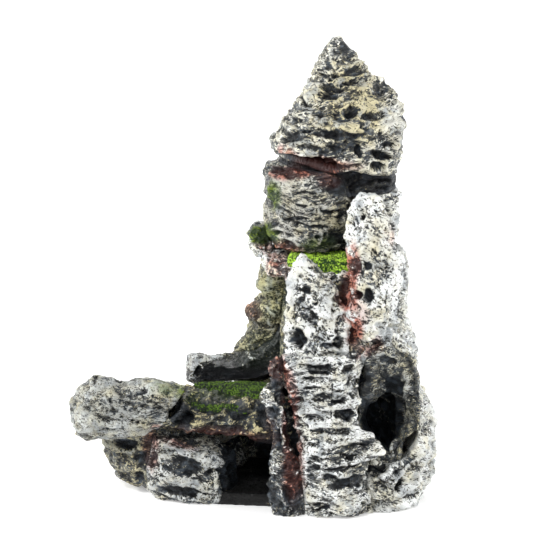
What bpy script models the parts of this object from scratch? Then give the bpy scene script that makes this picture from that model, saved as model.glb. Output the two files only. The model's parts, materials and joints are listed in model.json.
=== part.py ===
"""Aquarium cave ornament in cast resin: painted stones bonded round a hollow that fish swim through.

Run it with: blender --background --python part.py
Metres, +Z up, the front faces -Y. The origin is the middle of the footprint, on the floor.

A stone is a faceted loft. Closed rings are stacked along an axis, each given by its place on the axis
and its extent across it, and neighbouring rings are joined by flat faces. Where two stones meet, the
later one is cut back by the earlier one grown by the bond line, so that they lie against each other
without sharing any space. The hollow and its ways in are cut from the stones by lofts of their own.
"""

import math
import random
from collections import namedtuple

import bmesh
import bpy
from mathutils import Vector

MM = 0.001

# Driving dimensions, in millimetres.
HALF_WIDTH = 78.5  # left tip of the ledge and right side of the arch
FRONT, REAR = -50.0, 50.0
PEAK = 194.0
DECK = 45.0  # top of the ledge, where the lower moss lies
TERRACE = 101.5  # top of the terrace, where the upper moss lies
ROOF = 62.0  # underside of the tower, over the cave
FLOOR = 5.0  # thickness of the base plate
NECK = 137.0  # dark groove between the tower block and the summit
THROAT_FRONT, THROAT_REAR = -34.0, -13.0
TERRACE_RISE = 0.14  # of the terrace to the rear, per millimetre
BOND_LINE = 0.3
MOSS_THICK = 2.2

# Form of a stone's rings.
RING_POINTS = 12  # a multiple of 4, so that a ring has a point on each side's middle
SQUARENESS = 2.9  # 2 is an ellipse, and more is squarer
DEEPEST_CHIP = 0.12  # share of the radius that a corner of a rough stone may lose
SMOOTH_CHIP, THROAT_CHIP = 0.05, 0.16
MOST_GROWTH = 3.0  # limit on how far a grown corner moves, in bond lines

# Place on the axis, extents across it, and the ring's rise per millimetre along each of them.
Ring = namedtuple("Ring", "at u v rise_u rise_v", defaults=(0.0, 0.0))
Finish = namedtuple("Finish", "colour roughness")

WHITE_WASH = Finish((0.62, 0.62, 0.58), 0.55)
GREY_WASH = Finish((0.34, 0.35, 0.33), 0.55)
CREAM_WASH = Finish((0.46, 0.43, 0.33), 0.55)
BARE_RESIN = Finish((0.025, 0.027, 0.03), 0.35)
RUST_STAIN = Finish((0.16, 0.09, 0.07), 0.6)
MOSS_FLOCK = Finish((0.12, 0.32, 0.03), 0.95)


def clear_scene():
    for obj in list(bpy.data.objects):
        bpy.data.objects.remove(obj)


def material(finish):
    """The Principled material of a finish, made once."""
    name = "resin_%02d_%02d_%02d" % tuple(round(99 * c) for c in finish.colour)
    made = bpy.data.materials.get(name)
    if made is None:
        made = bpy.data.materials.new(name)
        made.use_nodes = True
        shader = made.node_tree.nodes["Principled BSDF"]
        shader.inputs["Base Color"].default_value = (*finish.colour, 1.0)
        shader.inputs["Roughness"].default_value = finish.roughness
        shader.inputs["Metallic"].default_value = 0.0
    return made


def signed_power(value, exponent):
    return math.copysign(abs(value) ** exponent, value)


def ring_outline(ring, chips):
    """Points (u, v, at) of one ring: a squared ellipse whose corners are chipped back."""
    mid_u, half_u = sum(ring.u) / 2, (ring.u[1] - ring.u[0]) / 2
    mid_v, half_v = sum(ring.v) / 2, (ring.v[1] - ring.v[0]) / 2
    points = []
    for k, chip in enumerate(chips):
        angle = 2 * math.pi * k / RING_POINTS
        u = mid_u + half_u * chip * signed_power(math.cos(angle), 2 / SQUARENESS)
        v = mid_v + half_v * chip * signed_power(math.sin(angle), 2 / SQUARENESS)
        points.append((u, v, ring.at + ring.rise_u * (u - mid_u) + ring.rise_v * (v - mid_v)))
    return points


def ring_chips(dice, deepest):
    """A radius share for each point of a ring. The points on the sides' middles keep theirs."""
    quarter = RING_POINTS // 4
    return [1.0 if k % quarter == 0 else 1.0 - deepest * dice.random() for k in range(RING_POINTS)]


def along_z(u, v, at):
    return Vector((u, v, at)) * MM


def along_x(u, v, at):
    return Vector((at, u, v)) * MM


def along_y(u, v, at):
    return Vector((u, at, v)) * MM


def loft(name, rings, place=along_z, deepest=DEEPEST_CHIP):
    """A closed faceted object through the rings, seeded by its name."""
    dice = random.Random(name)
    mesh = bmesh.new()
    rows = []
    for ring in rings:
        outline = ring_outline(ring, ring_chips(dice, deepest))
        rows.append([mesh.verts.new(place(*point)) for point in outline])
    for low, high in zip(rows, rows[1:]):
        for k in range(RING_POINTS):
            after = (k + 1) % RING_POINTS
            mesh.faces.new((low[k], low[after], high[after], high[k]))
    mesh.faces.new(rows[0][::-1])
    mesh.faces.new(rows[-1])
    bmesh.ops.triangulate(mesh, faces=mesh.faces)
    bmesh.ops.recalc_face_normals(mesh, faces=mesh.faces)
    data = bpy.data.meshes.new(name)
    mesh.to_mesh(data)
    mesh.free()
    obj = bpy.data.objects.new(name, data)
    bpy.context.scene.collection.objects.link(obj)
    return obj


def grown(obj, distance):
    """A copy whose faces all lie this far outside the original's, or inside them if it's negative."""
    mesh = bmesh.new()
    mesh.from_mesh(obj.data)
    shifts = [v.normal * distance * min(v.calc_shell_factor(), MOST_GROWTH) for v in mesh.verts]
    for vert, shift in zip(mesh.verts, shifts):
        vert.co += shift
    data = bpy.data.meshes.new(obj.name + "_grown")
    mesh.to_mesh(data)
    mesh.free()
    copy = bpy.data.objects.new(data.name, data)
    bpy.context.scene.collection.objects.link(copy)
    return copy


def combine(obj, other, operation):
    """Applies one exact Boolean to obj, and keeps the largest body that it leaves."""
    modifier = obj.modifiers.new(operation.lower(), "BOOLEAN")
    modifier.operation = operation
    modifier.solver = "EXACT"
    modifier.object = other
    graph = bpy.context.evaluated_depsgraph_get()
    result = bpy.data.meshes.new_from_object(obj.evaluated_get(graph))
    obj.modifiers.remove(modifier)
    obj.data = result
    keep_largest_body(obj)


def keep_largest_body(obj):
    """Removes the loose chips that a cut leaves beside the stone."""
    mesh = bmesh.new()
    mesh.from_mesh(obj.data)
    unseen = set(mesh.verts)
    bodies = []
    while unseen:
        body, frontier = set(), {unseen.pop()}
        while frontier:
            body |= frontier
            frontier = {e.other_vert(v) for v in frontier for e in v.link_edges} - body
        unseen -= body
        bodies.append(body)
    bodies.sort(key=lambda body: spread(v.co for v in body))
    for body in bodies[:-1]:
        bmesh.ops.delete(mesh, geom=list(body), context="VERTS")
    mesh.to_mesh(obj.data)
    mesh.free()


def spread(points):
    """Diagonal of the box round some points."""
    points = list(points)
    low = Vector([min(p[k] for p in points) for k in range(3)])
    high = Vector([max(p[k] for p in points) for k in range(3)])
    return (high - low).length


def near(obj, other):
    """Whether two objects' boxes come within reach of each other's bond line."""
    reach = 2 * BOND_LINE * MM
    for k in range(3):
        a = [v.co[k] for v in obj.data.vertices]
        b = [v.co[k] for v in other.data.vertices]
        if max(a) + reach < min(b) or max(b) + reach < min(a):
            return False
    return True


def cut(stone, others, gap=0.0):
    """Takes these objects, grown by a gap, away from a stone."""
    for other in others:
        if not near(stone, other):
            continue
        cutter = grown(other, gap * MM)
        combine(stone, cutter, "DIFFERENCE")
        bpy.data.objects.remove(cutter)


def chamber():
    """The hollow under the tower."""
    return loft(
        "chamber",
        [
            Ring(FLOOR + BOND_LINE, (2, 58), (-26, 27)),
            Ring(22, (1, 64), (-26, 29)),
            Ring(42, (3, 64), (-26, 29)),
            Ring(54, (16, 56), (-25, 26)),
            Ring(ROOF, (20, 46), (-18, 20)),
        ],
        deepest=SMOOTH_CHIP,
    )


def ledge_way():
    """The way into the chamber from under the ledge."""
    low = FLOOR + BOND_LINE
    rings = [
        Ring(-40, (-10, 8.5), (low, 22)),
        Ring(-18, (-8, 9), (low, 23.5)),
        Ring(4, (-3, 24), (low, 26)),
    ]
    return loft("ledge_way", rings, along_y, SMOOTH_CHIP)


def mouth():
    """The opening in the arch, as deep as the throat that sits in it."""
    rings = [
        Ring(-64, (44, 73), (18, 72.5)),
        Ring(-38, (43.5, 70.5), (19, 71)),
        Ring(THROAT_REAR, (42, 69.5), (20, 64)),
    ]
    return loft("mouth", rings, along_y, SMOOTH_CHIP)


def funnel():
    """The hole through the throat, wide in front and narrowest at its waist."""
    rings = [
        Ring(-60, (46, 72.5), (19, 72)),
        Ring(-36, (46, 69), (20.5, 69)),
        Ring(-27, (49, 67.5), (21.5, 56)),
        Ring(-20, (50, 66.5), (22.5, 47)),
        Ring(-5, (47, 64), (23.5, 45)),
    ]
    return loft("funnel", rings, along_y, THROAT_CHIP)


def cave_throat(mouth_void, funnel_void):
    """The bare collar inside the mouth, its waist the smallest place in the cave."""
    wide, tall = (30, 85), (5, 90)  # a block larger than the mouth, which trims it
    rings = [
        Ring(THROAT_FRONT, wide, tall),
        Ring(THROAT_REAR - 1, wide, tall),
    ]
    collar = loft("cave_throat", rings, along_y)
    core = grown(mouth_void, -BOND_LINE * MM)
    combine(collar, core, "INTERSECT")
    combine(collar, funnel_void, "DIFFERENCE")
    bpy.data.objects.remove(core)
    return collar


def front_wall():
    return loft(
        "front_wall_slab",
        [
            Ring(0, (21, 50), (-49, -27)),
            Ring(6, (20.5, 50), (FRONT, -27)),
            Ring(14, (20, 47), (FRONT, -27)),
            Ring(24, (19.5, 49), (-49, -28)),
            Ring(30, (18.5, 53.5), (-48.5, -28)),
            Ring(37, (17.5, 49.5), (-48, -28)),
            Ring(44, (16, 45), (-47.5, -28)),
            Ring(56, (13.5, 44), (-47, -28)),
            Ring(66.5, (12.5, 45), (-45, -27)),
        ],
    )


def crevice_pillar():
    return loft(
        "crevice_pillar",
        [
            Ring(0, (8, 24), (-45, -29)),
            Ring(8, (6.3, 23), (-46, -28)),
            Ring(21, (6.8, 20), (-45, -29)),
            Ring(29, (8.8, 16), (-43, -30)),
            Ring(36, (8, 15), (-43, -30)),
            Ring(44, (5.4, 14), (-43, -30)),
            Ring(49, (3.8, 13), (-42, -30)),
            Ring(55.5, (7.4, 12.6), (-41, -31)),
            Ring(61, (6.6, 12.6), (-41, -31)),
            Ring(66, (9.5, 12.4), (-39, -33)),
        ],
    )


def cave_arch():
    return loft(
        "cave_arch",
        [
            Ring(0, (42, 71), (-39, 30)),
            Ring(5, (42, 75), (-41, 34)),
            Ring(12, (41, 78), (-41, 36)),
            Ring(22, (40, HALF_WIDTH), (-40, 36)),
            Ring(33, (38, 77.5), (-40, 35)),
            Ring(42, (38, 75), (-40, 35)),
            Ring(50, (37, 70.5), (-39, 34)),
            Ring(58, (37, 71.5), (-38, 34)),
            Ring(66, (37, 68.5), (-36, 33)),
            Ring(75, (39, 66), (-31, 30)),
        ],
    )


def base_plate():
    return loft(
        "base_plate",
        [
            Ring(0, (-34, 62), (-32, 36)),
            Ring(FLOOR, (-33, 61), (-31, 35)),
        ],
        deepest=0.03,
    )


def rear_wall():
    return loft(
        "rear_wall_stone",
        [
            Ring(0, (-8, 70), (24, 48)),
            Ring(12, (-10, 71), (23, REAR)),
            Ring(28, (-9, 70), (23, REAR)),
            Ring(45, (-6, 68), (23, 49)),
            Ring(60, (0, 66), (24, 47)),
            Ring(72, (8, 62), (26, 45)),
        ],
    )


def rear_left_stone():
    return loft(
        "rear_left_stone",
        [
            Ring(0, (-40, -2), (5, 40)),
            Ring(10, (-44, -2), (4, 42)),
            Ring(22, (-46, -1), (3, 43), rise_v=-0.1),
            Ring(30, (-42, 0), (2, 42), rise_v=-0.2),
            Ring(37, (-37, 0), (1, 39), rise_v=-0.35),
        ],
    )


def ledge_slab():
    return loft(
        "ledge_slab",
        [
            Ring(-HALF_WIDTH, (-21, -8), (33, 42)),
            Ring(-74, (-26, 0), (28, 47)),
            Ring(-69, (-29, 4), (24, 51)),
            Ring(-60, (-30, 6), (24, 51.5)),
            Ring(-50, (-31, 6), (26.5, 50.5)),
            Ring(-41, (-32, 6), (30, 50)),
            Ring(-34, (-32, 4), (34, 49)),
            Ring(-29, (-30, -6), (40, 47.5)),
        ],
        place=along_x,
    )


def ledge_core():
    return loft(
        "ledge_core",
        [
            Ring(-40, (-26, 4), (30, DECK)),
            Ring(-26, (-28, 4), (29, DECK)),
            Ring(-10, (-28, 3), (27, DECK)),
            Ring(4, (-29, 2), (24.5, DECK)),
            Ring(16, (-31, -2), (23.5, DECK)),
        ],
        place=along_x,
        deepest=0.06,
    )


def ledge_boulder():
    return loft(
        "ledge_boulder",
        [
            Ring(0, (-42, -7), (-29, 3)),
            Ring(5, (-45, -6), (-30, 4)),
            Ring(13, (-46.5, -6), (-30, 4)),
            Ring(20, (-45, -7), (-29, 4), -0.05),
            Ring(25, (-43.5, -13), (-28, 3), -0.12),
            Ring(28, (-40, -24), (-24, 0), -0.1),
        ],
    )


def ledge_foot():
    return loft(
        "ledge_foot",
        [
            Ring(0, (-51, -24), (-12, 22)),
            Ring(5, (-58, -24), (-16, 25)),
            Ring(13, (-63, -24), (-19, 27)),
            Ring(21, (-66, -24), (-20, 26)),
            Ring(32, (-64, -24), (-19, 23)),
        ],
    )


def ledge_prow():
    return loft(
        "ledge_prow",
        [
            Ring(-28.5, (4, 12), (49, 56)),
            Ring(-25, (1, 17), (46.5, 57)),
            Ring(-18, (0, 23), (DECK - 1, 56)),
            Ring(-8, (0, 30), (DECK - 1, 55)),
            Ring(2, (0, 36), (DECK - 1, 59)),
            Ring(9, (0, 40), (DECK - 1, 68)),
            Ring(14, (1, 40), (DECK - 1, 79)),
        ],
        place=along_x,
    )


def rear_buttress():
    return loft(
        "rear_buttress",
        [
            Ring(34, (-8, 20), (2, 44)),
            Ring(DECK, (-9, 20), (6, 46)),
            Ring(56, (-8.5, 20), (8, 45)),
            Ring(62.5, (-2.5, 20), (6, 44)),
            Ring(69, (-1, 20), (5, 43)),
            Ring(73, (-4, 20), (4, 43)),
            Ring(77, (0.5, 20), (4, 43)),
            Ring(79, (7, 20), (5, 42)),
            Ring(86.5, (1.5, 20), (3, 42)),
            Ring(94, (4.5, 20), (2, 42)),
            Ring(97, (5, 20), (2, 42)),
        ],
    )


def tower_shoulder():
    return loft(
        "tower_shoulder",
        [
            Ring(DECK - 1, (11.5, 64), (-30, 42)),
            Ring(ROOF, (11.5, 64), (-34, 42)),
            Ring(68, (12, 62), (-35, 42)),
            Ring(76, (13, 60), (-30, 42)),
            Ring(88, (13.5, 60), (-28, 41)),
            Ring(97, (14, 60), (-27, 41)),
        ],
    )


def terrace_stone():
    return loft(
        "terrace_stone",
        [
            Ring(95, (5, 58), (-27, 41)),
            Ring(98, (4.5, 58), (-28, 41)),
            Ring(TERRACE, (6, 58), (-27, 25), rise_v=TERRACE_RISE),
        ],
        deepest=0.05,
    )


def terrace_knob():
    return loft(
        "terrace_knob",
        [
            Ring(100, (1, 9), (2, 20)),
            Ring(104, (-1, 9), (0, 22)),
            Ring(110, (-1.8, 7), (0, 22)),
            Ring(113, (1, 5), (5, 17)),
        ],
    )


def right_column():
    return loft(
        "right_column",
        [
            Ring(69, (42, 66.8), (-24, 36)),
            Ring(75, (42, 65.8), (-24, 37)),
            Ring(84, (42, 66), (-25, 38)),
            Ring(92, (42, 66.8), (-25, 38)),
            Ring(99, (42, 66.6), (-25, 38)),
            Ring(104, (42, 63.5), (-24, 38)),
            Ring(108.5, (42, 58.5), (-22, 37)),
            Ring(113, (42, 63.5), (-21, 38)),
            Ring(121, (42, 63), (-21, 38)),
            Ring(128.5, (43, 63.5), (-19, 37)),
        ],
    )


def right_pinnacle():
    return loft(
        "right_pinnacle",
        [
            Ring(71.5, (45, 49), (-37, -30)),
            Ring(77, (41.5, 55), (-40, -27)),
            Ring(87, (38.8, 59.5), (-41, -24)),
            Ring(97, (39.5, 61), (-40, -23)),
            Ring(107, (39.5, 61.5), (-37, -22)),
            Ring(115, (39.5, 59), (-33, -20)),
            Ring(123, (40, 56.5), (-29, -18)),
            Ring(129, (42, 54), (-26, -17)),
            Ring(131.5, (45, 51), (-24, -18)),
        ],
    )


def left_fang():
    return loft(
        "left_fang",
        [
            Ring(65, (14, 40), (-41, -26)),
            Ring(75, (13.4, 39.5), (-39, -26)),
            Ring(80, (13.2, 39), (-38, -26)),
            Ring(86, (13.4, 38), (-38, -27)),
            Ring(93, (13.6, 35), (-37, -28)),
            Ring(98, (14.6, 31.5), (-36, -28)),
            Ring(103, (16.8, 26.5), (-35, -28)),
            Ring(108.5, (19.6, 21), (-33, -29)),
        ],
    )


def tower_block():
    return loft(
        "tower_block",
        [
            Ring(100, (16, 43), (-4, 36)),
            Ring(104, (15, 43), (-6, 36)),
            Ring(106.5, (8, 43), (-13, 39)),
            Ring(110, (5.8, 43), (-17, 40)),
            Ring(118, (5.2, 43), (-18, 40)),
            Ring(128, (4.8, 43), (-18, 40)),
            Ring(136, (4.4, 43), (-17, 39), -0.07),
            Ring(139, (6, 42), (-15, 37), -0.1),
        ],
    )


def tower_neck():
    return loft(
        "tower_neck",
        [
            Ring(NECK - 9, (10, 61.5), (-12, 35)),
            Ring(NECK, (11, 61.5), (-12, 35), -0.1),
            Ring(NECK + 6, (12, 60), (-12, 34), -0.15),
        ],
        deepest=0.08,
    )


def summit_peak():
    return loft(
        "summit_peak",
        [
            Ring(140, (9.5, 62.5), (-14, 38), -0.16),
            Ring(145, (8.2, 63.5), (-17, 40), -0.1),
            Ring(151, (8.4, 64.5), (-18, 40)),
            Ring(158, (12.4, 66.5), (-18, 40)),
            Ring(163, (15.2, 63), (-16, 37)),
            Ring(171, (21.8, 55.8), (-10, 31)),
            Ring(180, (26, 49.2), (-3, 25)),
            Ring(188.5, (29.8, 42.2), (4, 19)),
            Ring(PEAK, (34, 37.4), (10, 14)),
        ],
    )


def moss_pad(name, base, x, y, rise=0.0):
    """A flocked pad on a deck at this height, which may rise to the rear, with its edge rounded down."""
    edge = 1.5
    top = base + MOSS_THICK
    inner_x = (x[0] + edge, x[1] - edge)
    inner_y = (y[0] + edge, y[1] - edge)
    return loft(
        name,
        [
            Ring(base - edge, x, y, rise_v=rise),
            Ring(top - MOSS_THICK / 3, x, y, rise_v=rise),
            Ring(top, inner_x, inner_y, rise_v=rise),
        ],
    )


def terrace_moss():
    return moss_pad("moss_terrace", TERRACE, (15, 42), (-25, 0), TERRACE_RISE)


def ledge_moss():
    return moss_pad("moss_ledge", DECK, (-30, 14), (-25, -1))


# Each stone is cut back by those before it, so a stone that shows its whole outline comes early.
STONES = (
    (front_wall, WHITE_WASH),
    (left_fang, WHITE_WASH),
    (right_pinnacle, WHITE_WASH),
    (crevice_pillar, RUST_STAIN),
    (cave_arch, WHITE_WASH),
    (ledge_slab, GREY_WASH),
    (ledge_boulder, GREY_WASH),
    (ledge_prow, BARE_RESIN),
    (summit_peak, CREAM_WASH),
    (tower_block, GREY_WASH),
    (right_column, WHITE_WASH),
    (terrace_knob, RUST_STAIN),
    (tower_neck, BARE_RESIN),
    (terrace_stone, RUST_STAIN),
    (tower_shoulder, BARE_RESIN),
    (rear_buttress, GREY_WASH),
    (rear_wall, GREY_WASH),
    (ledge_core, BARE_RESIN),
    (ledge_foot, GREY_WASH),
    (rear_left_stone, GREY_WASH),
    (terrace_moss, MOSS_FLOCK),
    (ledge_moss, MOSS_FLOCK),
    (base_plate, BARE_RESIN),
)


def finish_stone(stone, finish):
    stone.data.materials.clear()
    stone.data.materials.append(material(finish))


def build():
    clear_scene()
    mouth_void, funnel_void = mouth(), funnel()
    voids = [chamber(), ledge_way(), mouth_void]
    whole = [(maker(), finish) for maker, finish in STONES]
    stones = []
    for k, (shape, finish) in enumerate(whole):
        stone = shape.copy()
        stone.data = shape.data.copy()
        bpy.context.scene.collection.objects.link(stone)
        cut(stone, [earlier for earlier, _ in whole[:k]], BOND_LINE)
        cut(stone, voids)
        finish_stone(stone, finish)
        stones.append((stone, shape.name))

    throat = cave_throat(mouth_void, funnel_void)
    cut(throat, [shape for shape, _ in whole if shape.name != "cave_arch"], BOND_LINE)
    finish_stone(throat, BARE_RESIN)
    for helper in [*voids, funnel_void, *(shape for shape, _ in whole)]:
        bpy.data.objects.remove(helper)
    for stone, name in stones:
        stone.name = name


if __name__ == "__main__":
    build()
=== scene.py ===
"""Looks of the resin cave ornament: cast stones with relief, dry-brushed paint, stain and flocked moss.

Every stone is a fine copy of its CAD solid. Its relief is carved into the mesh with solid noise, and the
paint follows the relief: pale on what stands proud, dark in what lies deep, as a dry brush leaves it. The
bare resin in what lies deep is darkened further, as painted shade.
Lengths are in millimetres, except on the stage, and become metres where a mesh or an object is made.
"""

import itertools
import json
import math
from collections import namedtuple

import bmesh
import bpy
import numpy as np
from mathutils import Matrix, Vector
from mathutils.bvhtree import BVHTree


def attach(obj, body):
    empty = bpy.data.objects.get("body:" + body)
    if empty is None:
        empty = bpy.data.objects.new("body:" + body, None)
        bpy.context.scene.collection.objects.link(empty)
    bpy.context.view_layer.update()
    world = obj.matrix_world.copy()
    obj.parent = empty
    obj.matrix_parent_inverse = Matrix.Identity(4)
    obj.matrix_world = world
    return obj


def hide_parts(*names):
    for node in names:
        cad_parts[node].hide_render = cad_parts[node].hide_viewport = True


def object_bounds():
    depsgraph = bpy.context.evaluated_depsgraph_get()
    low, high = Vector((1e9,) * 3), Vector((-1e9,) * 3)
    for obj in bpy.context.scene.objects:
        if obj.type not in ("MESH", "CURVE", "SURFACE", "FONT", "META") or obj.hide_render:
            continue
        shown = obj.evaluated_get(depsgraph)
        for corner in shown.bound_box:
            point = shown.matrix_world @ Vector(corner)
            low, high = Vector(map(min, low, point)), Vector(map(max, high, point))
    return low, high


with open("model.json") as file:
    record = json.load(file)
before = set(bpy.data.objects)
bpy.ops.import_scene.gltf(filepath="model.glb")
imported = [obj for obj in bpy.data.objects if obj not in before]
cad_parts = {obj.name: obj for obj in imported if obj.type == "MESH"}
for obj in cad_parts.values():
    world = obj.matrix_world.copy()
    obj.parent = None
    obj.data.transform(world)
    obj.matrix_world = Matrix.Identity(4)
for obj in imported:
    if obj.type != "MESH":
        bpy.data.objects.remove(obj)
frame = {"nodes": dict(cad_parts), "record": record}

cad_low, cad_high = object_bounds()

MM = 0.001
VOXEL = 0.62  # size of a stone's mesh cells
PAD_VOXEL = 0.6  # size of a moss pad's mesh cells
CONTACT = 0.9  # a surface this near another stone is in a joint between them
BOND_FILL = 0.35  # how far a surface in a joint is moved out, to close it
LIP_HEIGHT, LIP_PAINT = 0.35, 0.3  # of the lip round a mark
LIP_FROM = 0.9  # depth of the shallowest mark that has a lip
FRONT_END = 12  # the front marks reach back to this Y
SOFTEN_SHAPE, SOFTEN_NORMALS, SOFTEN_PAD = 2, 6, 4  # rounds of smoothing over a mesh
BROAD, NARROW = 24, 3  # rounds of smoothing that the heights are compared with
INDOOR_CALM = 0.75  # share of the relief that is left out indoors
INDOOR_BARE = 1.6  # paint lost indoors
MOSS_SWELL = 1.1  # unevenness of a moss pad
MOSS_DROP = 0.3  # how far a pad is lowered to make room for its grains
MOSS_SINK = 5  # how far a pad is sunk where its moss has ended
FIRST_SEED, SEED_STEP = 7, 200  # the seeds of the stones, one after another

# ---- solid noise


def scatter(place, seed):
    """Repeatable random numbers from 0 to 1 for an array of whole-number places."""
    x, y, z = (place[:, k].astype(np.int64).astype(np.uint32) for k in range(3))
    mixed = (x * np.uint32(73856093)) ^ (y * np.uint32(19349663)) ^ (z * np.uint32(83492791))
    mixed ^= np.uint32((seed * 2654435761) % 2**32)
    for shift, factor in ((16, 0x7FEB352D), (15, 0x846CA68B)):
        mixed = (mixed ^ (mixed >> np.uint32(shift))) * np.uint32(factor)
    mixed ^= mixed >> np.uint32(16)
    return mixed.astype(np.float64) / 2**32


def noise(points, seed):
    """Smooth noise from 0 to 1, whose lattice has a pitch of 1."""
    base = np.floor(points)
    part = points - base
    part = part * part * (3 - 2 * part)
    total = np.zeros(len(points))
    for corner in itertools.product((0, 1), repeat=3):
        weight = np.prod(np.where(corner, part, 1 - part), axis=1)
        total += weight * scatter(base + corner, seed)
    return total


def fractal(points, seed, octaves=3):
    """Noise with finer noise added, from 0 to 1."""
    total, weight, whole = 0.0, 1.0, 0.0
    for k in range(octaves):
        total = total + weight * noise(points * 2.03**k + 17.3 * k, seed + k)
        whole += weight
        weight *= 0.5
    return total / whole


def crests(points, seed, octaves=2):
    """Winding crest lines: 1 on a line, and 0 well away from one."""
    return 1 - np.minimum(np.abs(fractal(points, seed, octaves) - 0.5) / 0.2, 1)


def neighbours(points, seed):
    """The 27 cells round each point, and the way to it from a random place in each."""
    base = np.floor(points)
    for offset in itertools.product((-1, 0, 1), repeat=3):
        cell = base + offset
        place = [cell[:, k] + 0.08 + 0.84 * scatter(cell, seed + 11 * k) for k in range(3)]
        yield cell, [points[:, k] - place[k] for k in range(3)]


def cells(points, seed):
    """Distance to the nearest random place, and that place's own number from 0 to 1."""
    nearest, own = np.full(len(points), 9.0), np.zeros(len(points))
    for cell, way in neighbours(points, seed):
        away = sum(d * d for d in way)
        own = np.where(away < nearest, scatter(cell, seed + 51), own)
        nearest = np.minimum(nearest, away)
    return np.sqrt(nearest), own


def plates(points, seed, sharp=12):
    """Flat patches, one to a cell, each with its own tilt and height, joined by short slopes."""
    total, weight = np.zeros(len(points)), np.zeros(len(points))
    for cell, way in neighbours(points, seed):
        share = np.exp(-sharp * sum(d * d for d in way))
        level = scatter(cell, seed + 51) - 0.5
        for k, d in enumerate(way):
            level += d * (scatter(cell, seed + 60 + k) - 0.5)
        total += share * level
        weight += share
    return total / weight


def ramp(values, low, high):
    """0 below low, 1 above high, and smooth between them."""
    part = np.clip((values - low) / (high - low), 0, 1)
    return part * part * (3 - 2 * part)


def blend_to(values, target, share):
    """values moved towards target by a share for each point."""
    share = share[:, None] if np.ndim(values) == 2 else share
    return values + (np.asarray(target) - values) * share


# ---- meshes


def read(items, field, width, kind=np.float32):
    """A row of numbers for each item of a mesh."""
    flat = np.empty(len(items) * width, kind)
    items.foreach_get(field, flat)
    return flat.reshape(-1, width)


def ends_of(mesh):
    """The two vertices of each edge."""
    return read(mesh.edges, "vertices", 2, np.int32)


def points_of(mesh):
    """The places of the vertices."""
    return read(mesh.vertices, "co", 3).astype(np.float64) / MM


def normals_of(mesh):
    """The outward directions at the vertices."""
    return read(mesh.vertex_normals, "vector", 3).astype(np.float64)


def move_points(mesh, points):
    """Moves the vertices to these places."""
    mesh.vertices.foreach_set("co", (points * MM).astype(np.float32).ravel())
    mesh.update()


def drop_crumbs(mesh):
    """Keeps only the biggest of a mesh's separate pieces."""
    first, second = ends_of(mesh).T
    label = np.arange(len(mesh.vertices))
    while True:
        lower = label.copy()
        np.minimum.at(lower, first, label[second])
        np.minimum.at(lower, second, label[first])
        lower = lower[lower]
        if (lower == label).all():
            break
        label = lower
    loose = np.flatnonzero(label != np.bincount(label).argmax())
    if len(loose):
        shape = bmesh.new()
        shape.from_mesh(mesh)
        shape.verts.ensure_lookup_table()
        bmesh.ops.delete(shape, geom=[shape.verts[k] for k in loose], context="VERTS")
        shape.to_mesh(mesh)
        shape.free()


def show(obj):
    """Puts an object in the scene."""
    bpy.context.scene.collection.objects.link(obj)


def remeshed(node, voxel):
    """A copy of a CAD node's mesh, rebuilt in even cells."""
    copy = bpy.data.objects.new(node + "_blank", frame["nodes"][node].data.copy())
    show(copy)
    modifier = copy.modifiers.new("cells", "REMESH")
    modifier.mode = "VOXEL"
    modifier.voxel_size = voxel * MM
    graph = bpy.context.evaluated_depsgraph_get()
    mesh = bpy.data.meshes.new_from_object(copy.evaluated_get(graph))
    mesh.name = node
    bpy.data.objects.remove(copy)
    drop_crumbs(mesh)
    return mesh


class Web:
    """The edges of a mesh, for smoothing values over its surface."""

    def __init__(self, mesh):
        first, second = ends_of(mesh).T
        self.from_ = np.concatenate([first, second])
        self.to = np.concatenate([second, first])
        self.size = len(mesh.vertices)
        self.count = np.bincount(self.to, minlength=self.size) + 1.0

    def smooth(self, values, times):
        """Each value becomes the mean of its own and its neighbours', some times over."""
        if values.ndim == 2:
            return np.stack([self.smooth(values[:, k], times) for k in range(values.shape[1])], axis=1)
        for _ in range(times):
            values = (values + np.bincount(self.to, values[self.from_], self.size)) / self.count
        return values


def unit(vectors):
    """The vectors at a length of 1."""
    return vectors / np.maximum(np.linalg.norm(vectors, axis=1, keepdims=True), 1e-9)


def joint_tree(node):
    """A tree of every other stone's CAD solid, to find where this one lies against them."""
    corners, faces = [], []
    for name, obj in frame["nodes"].items():
        if name == node or name.startswith("moss_"):
            continue
        start = len(corners)
        corners += [v.co.copy() for v in obj.data.vertices]
        faces += [[start + k for k in p.vertices] for p in obj.data.polygons]
    return BVHTree.FromPolygons(corners, faces)


def nearness(points, tree):
    """How near each point is to the tree: 1 in a joint, falling to 0 a little outside it."""
    found = np.ones(len(points))
    for k, point in enumerate(points):
        hit = tree.find_nearest(Vector(point * MM), 2 * CONTACT * MM)
        found[k] = 2 * CONTACT if hit[3] is None else hit[3] / MM
    return 1 - ramp(found, CONTACT, 2 * CONTACT)


def placed(name, mesh, material):
    """An object in the scene with this mesh and this one material."""
    mesh.materials.clear()
    mesh.materials.append(material)
    obj = bpy.data.objects.new(name, mesh)
    show(obj)
    return obj


# ---- places on the object

# A spot is a soft ellipsoid: its centre, its radii and its strength.
Spot = namedtuple("Spot", "centre radii strength", defaults=(1.0,))

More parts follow.
